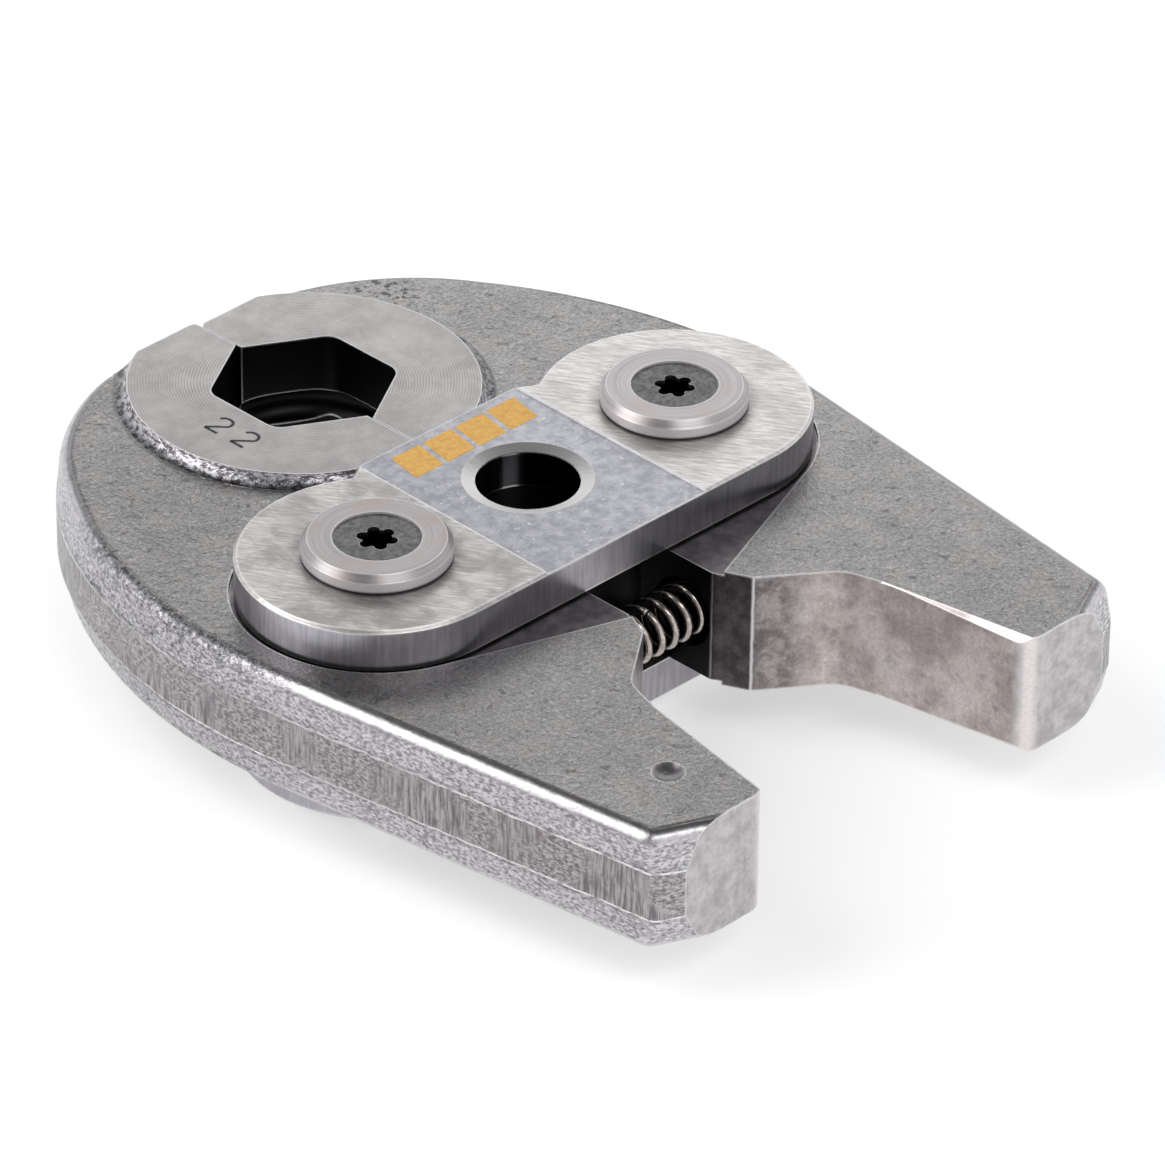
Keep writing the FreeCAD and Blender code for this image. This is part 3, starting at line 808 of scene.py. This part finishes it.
def screw_material():
    """Blackened screw with edges partly rubbed and partly painted highlight, and a socket painted
    near black as shade.
    """
    t = Surface("screw_black")
    z = t.split(t.place)[2]
    mottle = t.pattern("screw mottle")
    color = t.two_tone(t.band(mottle, 0.3, 0.7), "screw")
    # Light edges: partly rubbed steel, partly painted highlight
    color = t.paint(t.mul(t.edge(*SCREW_EDGE), 0.8), color, "screw edge rub and highlight")
    # Painted shade: the socket near black inside
    deep = t.below(t.size(z), SOCKET_Z - 2 * HAIR, SOCKET_Z + 2 * HAIR)
    color = t.paint(deep, color, "socket")
    roughness = t.blend(t.spots("screw polish", 0.3, 0.7), 0.32, 0.46)
    return t.finish(color, roughness, t.bump(mottle, FINE_RELIEF))


def pin_material():
    """Ground pin."""
    t = Surface("pin_steel")
    lines = t.streaks("pin lines", t.place)
    color = t.two_tone(t.band(lines, 0.3, 0.7), "pin")
    return t.finish(color, 0.3, t.bump(lines, FINE_RELIEF))


def wire_material():
    """Bright drawn wire; the side that faces into the coil is rougher and painted dark as shade."""
    t = Surface("spring_wire")
    y, z = t.split(t.place)[1:]
    ny, nz = t.split(t.normal)[1:]
    outward = t.add(t.mul(ny, t.sub(y, SPRING_Y)), t.mul(nz, z))
    # Painted shade on the side of the wire that faces into the coil
    inner_shade = t.below(outward, *WIRE_INSIDE)
    drawn = t.pattern("wire")
    color = t.two_tone(t.band(drawn, 0.35, 0.7), "wire")
    color = t.paint(inner_shade, color, "wire inside shade")
    roughness = t.blend(t.spots("wire polish", 0.3, 0.7), 0.16, 0.26)
    return t.finish(color, t.blend(inner_shade, roughness, 0.5), t.bump(drawn, WIRE_RELIEF))


def print_material():
    """Worn yellow print."""
    t = Surface("yellow_print")
    highlight_breakup = t.pattern("print wear")
    color = t.two_tone(t.band(highlight_breakup, 0.3, 0.62), "print")
    return t.finish(color, t.blend(highlight_breakup, 0.5, 0.65), t.bump(highlight_breakup, FINE_RELIEF), 0.0)


def stamp_material():
    """Stamped number, dark as painted shade standing in for the depth of its strokes."""
    t = Surface("stamped_mark")
    deep = t.pattern("stamp")
    color = t.two_tone(t.band(deep, 0.3, 0.7), "stamp")
    return t.finish(color, 0.55, t.bump(deep, FINE_RELIEF), 0.6)


def mesh_object(name, vertices, faces, material):
    mesh = bpy.data.meshes.new(name)
    mesh.from_pydata(vertices, [], faces)
    mesh.materials.append(material)
    mesh.update()
    piece = bpy.data.objects.new(name, mesh)
    bpy.context.scene.collection.objects.link(piece)
    return piece


def slab(name, outlines, low, high, material):
    """Thin flat piece: closed outlines in plan, between two heights."""
    vertices = []
    faces = []
    for outline in outlines:
        count = len(outline)
        first = len(vertices)
        vertices += [(x, y, low) for x, y in outline] + [(x, y, high) for x, y in outline]
        faces.append(tuple(first + i for i in reversed(range(count))))
        faces.append(tuple(first + count + i for i in range(count)))
        for i in range(count):
            j = (i + 1) % count
            faces.append((first + i, first + j, first + count + j, first + count + i))
    return mesh_object(name, vertices, faces, material)


def ribbon(points, width):
    """Outline of a stroke along a line of points."""
    left = []
    right = []
    for i, (x, y) in enumerate(points):
        before = Vector(points[max(i - 1, 0)])
        after = Vector(points[min(i + 1, len(points) - 1)])
        along = (after - before).normalized()
        left.append((x - along.y * width / 2, y + along.x * width / 2))
        right.append((x + along.y * width / 2, y - along.x * width / 2))
    return left + right[::-1]


def digit_two():
    """Strokes of a plain figure 2, in a box one high and one wide about its middle."""
    bow = []
    for step in range(BOW_POINTS):
        angle = math.radians(BOW_START_DEGREES - BOW_STEP_DEGREES * step)
        bow.append((0.5 * math.cos(angle), 0.22 + 0.28 * math.sin(angle)))
    foot = (-0.48, -0.47)
    return [bow + [(0.0, -0.16), foot], [(-0.5, -0.48), (0.5, -0.48)]]


def print_bars():
    """Outlines of the slanted bars of the print."""
    bars = []
    for step in range(PRINT_BARS):
        near_x = PRINT_START_X + step * PRINT_PITCH
        far_x = near_x + PRINT_SLANT
        bars.append([(near_x, PRINT_LOW_Y), (near_x + PRINT_WIDTH, PRINT_LOW_Y),
                     (far_x + PRINT_WIDTH, PRINT_HIGH_Y), (far_x, PRINT_HIGH_Y)])
    return bars


def number_strokes():
    """Outlines of the size number's strokes, turned with the left jaw."""
    swing = Matrix.Rotation(REST_SWING, 2)
    pivot = Vector((-PIVOT_X, 0))
    strokes = []
    for center_y in NUMBER_PLACES:
        for stroke in digit_two():
            placed = []
            for across, upward in stroke:
                local = Vector((NUMBER_X + upward * NUMBER_HEIGHT,
                                center_y - across * NUMBER_WIDTH))
                placed.append(tuple(swing @ (local - pivot) + pivot))
            strokes.append(ribbon(placed, NUMBER_STROKE))
    return strokes


def coil(name, start, end, material):
    """Part of the closing spring between two places along X, as a swept round wire."""
    steps = max(2, int(abs(end - start) / SPRING_PITCH * SPRING_STEPS_PER_TURN))
    rise = math.atan2(SPRING_PITCH, 2 * math.pi * SPRING_RADIUS)
    vertices = []
    for i in range(steps + 1):
        x = start + (end - start) * i / steps
        angle = 2 * math.pi * (x + SPRING_START) / SPRING_PITCH
        radial = Vector((0, math.cos(angle), math.sin(angle)))
        tangent = Vector((math.sin(rise), -math.cos(rise) * math.sin(angle),
                          math.cos(rise) * math.cos(angle)))
        other = tangent.cross(radial)
        center = Vector((x + SPRING_DRIFT, SPRING_Y, 0)) + radial * SPRING_RADIUS
        for k in range(SPRING_SIDES):
            around = 2 * math.pi * k / SPRING_SIDES
            offset = radial * math.cos(around) + other * math.sin(around)
            vertices.append(center + offset * SPRING_WIRE / 2)
    faces = []
    for i in range(steps):
        for k in range(SPRING_SIDES):
            a = i * SPRING_SIDES + k
            b = i * SPRING_SIDES + (k + 1) % SPRING_SIDES
            faces.append((a, b, b + SPRING_SIDES, a + SPRING_SIDES))
    faces.append(tuple(range(SPRING_SIDES))[::-1])
    faces.append(tuple(range(steps * SPRING_SIDES, (steps + 1) * SPRING_SIDES)))
    piece = mesh_object(name, vertices, faces, material)
    for polygon in piece.data.polygons:
        polygon.use_smooth = True
    return piece


def dress(node, material):
    """Gives a CAD node its material."""
    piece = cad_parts[node]
    piece.data.materials.clear()
    piece.data.materials.append(material)


def softbox(name, location, size, power):
    data = bpy.data.lights.new(name, "AREA")
    data.shape = "RECTANGLE"
    data.size, data.size_y = size
    data.energy = power
    lamp = bpy.data.objects.new(name, data)
    lamp.location = location
    lamp.rotation_euler = (-Vector(location)).to_track_quat("-Z", "Y").to_euler()
    bpy.context.scene.collection.objects.link(lamp)


# Materials on the CAD nodes
dress("left_jaw", jaw_material("forged_left", -1))
dress("right_jaw", jaw_material("forged_right", 1))
plate_steel = plate_material()
disc_steel = disc_material()
screw_black = screw_material()
pin_steel = pin_material()
wire = wire_material()
for height in ("upper", "lower"):
    dress(height + "_side_plate", plate_steel)
    for side in ("left", "right"):
        dress(height + "_" + side + "_cap_disc", disc_steel)
        dress(height + "_" + side + "_cap_screw", screw_black)
for side in ("left", "right"):
    dress(side + "_pivot_pin", pin_steel)

# The spring in two halves, one on each side of the middle
for name, side, jaw in (("spring_left_half", -1, "left_jaw"), ("spring_right_half", 1, "right_jaw")):
    half = coil(name, 0.0, side * SPRING_HALF, wire)
    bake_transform(half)
    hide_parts("closing_spring")

# Plain print on the band of each plate
print_yellow = print_material()
for name, direction in (("upper_print", 1), ("lower_print", -1)):
    low, high = sorted(direction * (BAND_TOP + offset)
                       for offset in (-PRINT_HALF_THICKNESS, PRINT_HALF_THICKNESS))
    bars_piece = slab(name, print_bars(), low, high, print_yellow)
    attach(bars_piece, "side_plates")

# Plain size number on the ring
number = slab("size_number", number_strokes(), RING_TOP - NUMBER_SUNK, RING_TOP + NUMBER_PROUD,
              stamp_material())
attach(number, "left_jaw")

# Floor: white, with a glow that only the camera and reflections see
floor_surface = Surface("floor_white")
diffuse = floor_surface.nodes.new("ShaderNodeBsdfDiffuse")
diffuse.inputs["Color"].default_value = (FLOOR_WHITE, FLOOR_WHITE, FLOOR_WHITE, 1)
glow = floor_surface.nodes.new("ShaderNodeEmission")
paths = floor_surface.nodes.new("ShaderNodeLightPath")
seen = floor_surface.top(paths.outputs["Is Camera Ray"], paths.outputs["Is Glossy Ray"])
floor_surface.put(glow.inputs["Strength"], floor_surface.mul(seen, FLOOR_GLOW))
both = floor_surface.nodes.new("ShaderNodeAddShader")
floor_surface.put(both.inputs[0], diffuse.outputs[0])
floor_surface.put(both.inputs[1], glow.outputs[0])
floor_surface.put(floor_surface.output.inputs["Surface"], both.outputs[0])
floor_corners = [(x * FLOOR_HALF, y * FLOOR_HALF, FLOOR_Z)
                 for x, y in ((-1, -1), (1, -1), (1, 1), (-1, 1))]
floor = mesh_object("floor", floor_corners, [(0, 1, 2, 3)], floor_surface.material)

# World: darker at the zenith and on the left, plain white behind the object
world = bpy.data.worlds.new("studio")
bpy.context.scene.world = world
world.use_nodes = True
sky = Tree(world.node_tree)
background = sky.nodes["Background"]
background.inputs["Color"].default_value = WORLD_COLOR
toward = sky.split(sky.nodes.new("ShaderNodeTexCoord").outputs["Generated"])
dome = sky.blend(sky.band(toward["Z"], ZENITH_START, ZENITH_END), 1.0, ZENITH_LEVEL)
side_fall = sky.blend(sky.band(toward["X"], LEFT_START, LEFT_END), LEFT_LEVEL, 1.0)
seen_by = sky.nodes.new("ShaderNodeLightPath")
backdrop = sky.blend(seen_by.outputs["Is Camera Ray"], sky.mul(dome, side_fall), 1.0)
sky.put(background.inputs["Strength"], backdrop)

for softbox_values in SOFTBOXES:
    softbox(*softbox_values)

back = Vector((math.sin(AZIMUTH) * math.cos(ELEVATION), -math.cos(AZIMUTH) * math.cos(ELEVATION),
               math.sin(ELEVATION)))
right = Vector((0, 0, 1)).cross(back).normalized()
up = back.cross(right)
camera_right = right * math.cos(ROLL) + up * math.sin(ROLL)
camera_up = up * math.cos(ROLL) - right * math.sin(ROLL)
camera_data = bpy.data.cameras.new("camera")
camera_data.sensor_fit = "HORIZONTAL"
camera_data.sensor_width = SENSOR_WIDTH
camera_data.lens = FOCAL_IN_PIXELS / PHOTO_WIDTH * SENSOR_WIDTH
camera_data.clip_end = CLIP_END
camera = bpy.data.objects.new("camera", camera_data)
turn = Matrix((camera_right, camera_up, back)).transposed().to_4x4()
camera.matrix_world = Matrix.Translation(TARGET + back * DISTANCE) @ turn
bpy.context.scene.collection.objects.link(camera)
bpy.context.scene.camera = camera
bpy.context.scene.view_settings.view_transform = "Standard"
